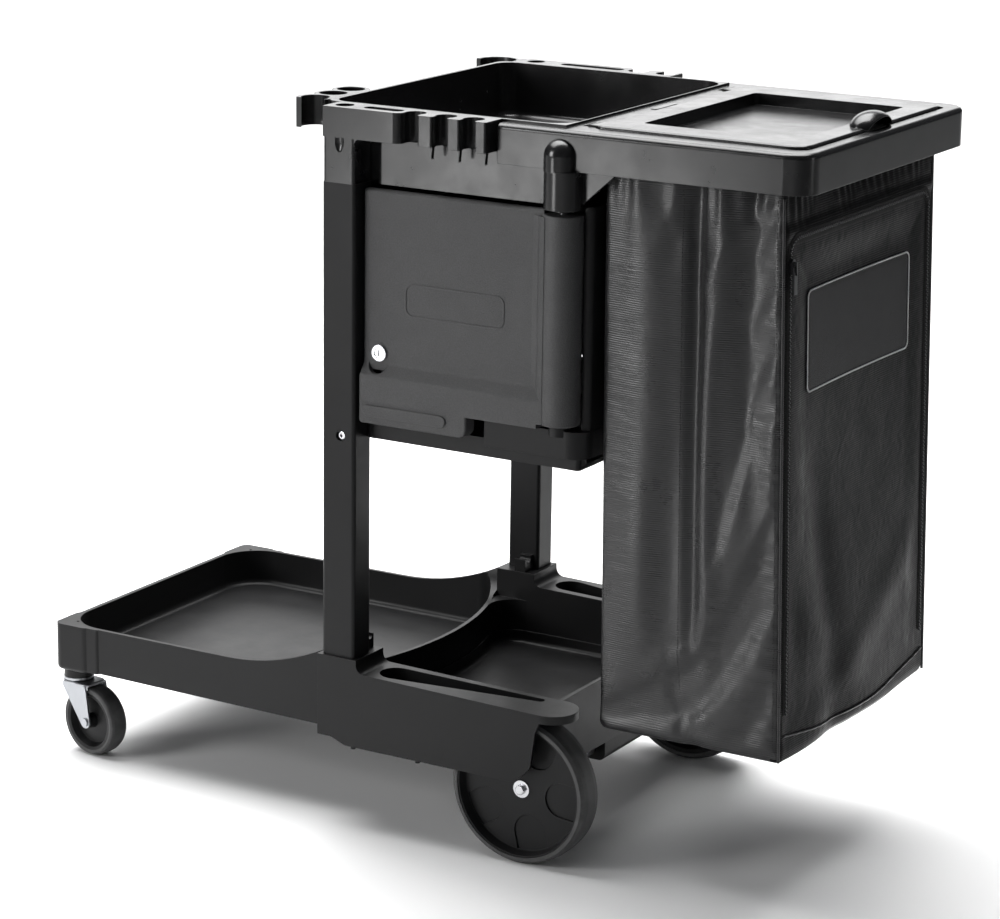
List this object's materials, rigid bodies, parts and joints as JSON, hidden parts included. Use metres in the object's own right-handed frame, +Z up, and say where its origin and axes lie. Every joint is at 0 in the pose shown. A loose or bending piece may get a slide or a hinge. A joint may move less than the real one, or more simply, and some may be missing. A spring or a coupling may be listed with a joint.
{
  "type": "housekeeping cart",
  "caption": "Wheeled cleaning cart with a front platform, rear tray, lockable cabinet, open tool tray with handle notches, and a lidded frame holding a zipped bag.",
  "frame": {"origin": "on the floor, at the middle of the cart's length and width", "axes": "+X from the front platform towards the bag, -Y is the cart's left side, +Z up"},
  "size_m": [1.168, 0.548, 1.0065],
  "materials": {
    "deck_plastic": "satin moulded black",
    "top_plastic": "semi-gloss moulded black",
    "door_plastic": "fine textured charcoal",
    "upright_plastic": "satin extruded black",
    "lid_plastic": "semi-gloss moulded black",
    "wheel_plastic": "satin moulded black",
    "tread_rubber": "grey non-marking rubber",
    "zinc_steel": "bright zinc plate",
    "axle_steel": "drawn steel",
    "bright_metal": "polished",
    "bag_vinyl": "glossy ribbed black vinyl",
    "zip_tape": "woven black tape",
    "zip_metal": "dark coated metal",
    "label_cloth": "plain grey cloth"
  },
  "bodies": {
    "cart": {"axle_cap_left": "bright_metal", "axle_cap_right": "bright_metal", "axle_hanger": "deck_plastic", "axle_rod": "axle_steel", "axle_washer_left": "bright_metal", "axle_washer_right": "bright_metal", "bag": "bag_vinyl", "bag_frame": "top_plastic", "bag_hooks": "zinc_steel", "cabinet_end_panel": "upright_plastic", "cabinet_front_panel": "upright_plastic", "cabinet_shelf": "upright_plastic", "caster_mount_left": "zinc_steel", "caster_mount_right": "zinc_steel", "deck_bolts": "zinc_steel", "door_pin_left": "axle_steel", "door_pin_right": "axle_steel", "front_platform": "deck_plastic", "hinge_post_left": "top_plastic", "hinge_post_right": "top_plastic", "hook_ring": "top_plastic", "label_patch": "label_cloth", "lid_pins": "axle_steel", "rear_deck": "deck_plastic", "tool_rail_left": "top_plastic", "tool_rail_right": "top_plastic", "tool_rings": "top_plastic", "top_tray": "top_plastic", "upright_left": "upright_plastic", "upright_right": "upright_plastic", "upright_screw_left": "bright_metal", "upright_screw_right": "bright_metal", "zip_tape": "zip_tape"},
    "caster_left": {"caster_fork_left": "zinc_steel", "caster_axle_left": "zinc_steel"},
    "caster_right": {"caster_fork_right": "zinc_steel", "caster_axle_right": "zinc_steel"},
    "caster_wheel_left": {"caster_hub_left": "wheel_plastic", "caster_tyre_left": "tread_rubber"},
    "caster_wheel_right": {"caster_hub_right": "wheel_plastic", "caster_tyre_right": "tread_rubber"},
    "rear_wheel_left": {"wheel_hub_left": "wheel_plastic", "wheel_tyre_left": "tread_rubber"},
    "rear_wheel_right": {"wheel_hub_right": "wheel_plastic", "wheel_tyre_right": "tread_rubber"},
    "cabinet_door_left": {"door_left": "door_plastic", "lock_barrel_left": "bright_metal"},
    "cabinet_door_right": {"door_right": "door_plastic", "lock_barrel_right": "bright_metal"},
    "door_lock_left": {"lock_plug_left": "bright_metal", "lock_cam_left": "zinc_steel"},
    "door_lock_right": {"lock_plug_right": "bright_metal", "lock_cam_right": "zinc_steel"},
    "lid": {"bag_lid": "lid_plastic"},
    "slider": {"zip_slider": "zip_metal"},
    "pull_tab": {"zip_pull": "zip_metal"}
  },
  "joints": [
    {"name": "caster_swivel_left", "type": "hinge", "parent": "cart", "child": "caster_left", "pos_m": [-0.562, -0.211, 0.1074], "axis": [0, 0, 1], "continuous": true},
    {"name": "caster_spin_left", "type": "hinge", "parent": "caster_left", "child": "caster_wheel_left", "pos_m": [-0.52941, -0.21616, 0.0508], "axis": [0.1564, 0.9877, 0], "continuous": true},
    {"name": "rear_wheel_spin_left", "type": "hinge", "parent": "cart", "child": "rear_wheel_left", "pos_m": [0.202, -0.2415, 0.1016], "axis": [0, 1, 0], "continuous": true},
    {"name": "door_hinge_left", "type": "hinge", "parent": "cart", "child": "cabinet_door_left", "pos_m": [0.245, -0.243, 0.74], "axis": [0, 0, 1], "range_deg": [0, 110]},
    {"name": "lock_turn_left", "type": "hinge", "parent": "cabinet_door_left", "child": "door_lock_left", "pos_m": [-0.022, -0.248, 0.666], "axis": [0, 1, 0], "range_deg": [0, 90]},
    {"name": "caster_swivel_right", "type": "hinge", "parent": "cart", "child": "caster_right", "pos_m": [-0.562, 0.211, 0.1074], "axis": [0, 0, 1], "continuous": true},
    {"name": "caster_spin_right", "type": "hinge", "parent": "caster_right", "child": "caster_wheel_right", "pos_m": [-0.52941, 0.20584, 0.0508], "axis": [0.1564, 0.9877, 0], "continuous": true},
    {"name": "rear_wheel_spin_right", "type": "hinge", "parent": "cart", "child": "rear_wheel_right", "pos_m": [0.202, 0.2415, 0.1016], "axis": [0, 1, 0], "continuous": true},
    {"name": "door_hinge_right", "type": "hinge", "parent": "cart", "child": "cabinet_door_right", "pos_m": [0.245, 0.243, 0.74], "axis": [0, 0, -1], "range_deg": [0, 110]},
    {"name": "lock_turn_right", "type": "hinge", "parent": "cabinet_door_right", "child": "door_lock_right", "pos_m": [-0.022, 0.248, 0.666], "axis": [0, 1, 0], "range_deg": [0, 90]},
    {"name": "lid_hinge", "type": "hinge", "parent": "cart", "child": "lid", "pos_m": [0.258, 0, 0.981], "axis": [0, -1, 0], "range_deg": [0, 100]},
    {"name": "zip_run", "type": "slide", "parent": "cart", "child": "slider", "axis": [0.0275, 0, -0.9996], "range_m": [0, 0.54]},
    {"name": "pull_tab_swing", "type": "hinge", "parent": "slider", "child": "pull_tab", "pos_m": [0.55383, -0.211, 0.83924], "axis": [0, -1, 0], "range_deg": [0, 120]}
  ]
}
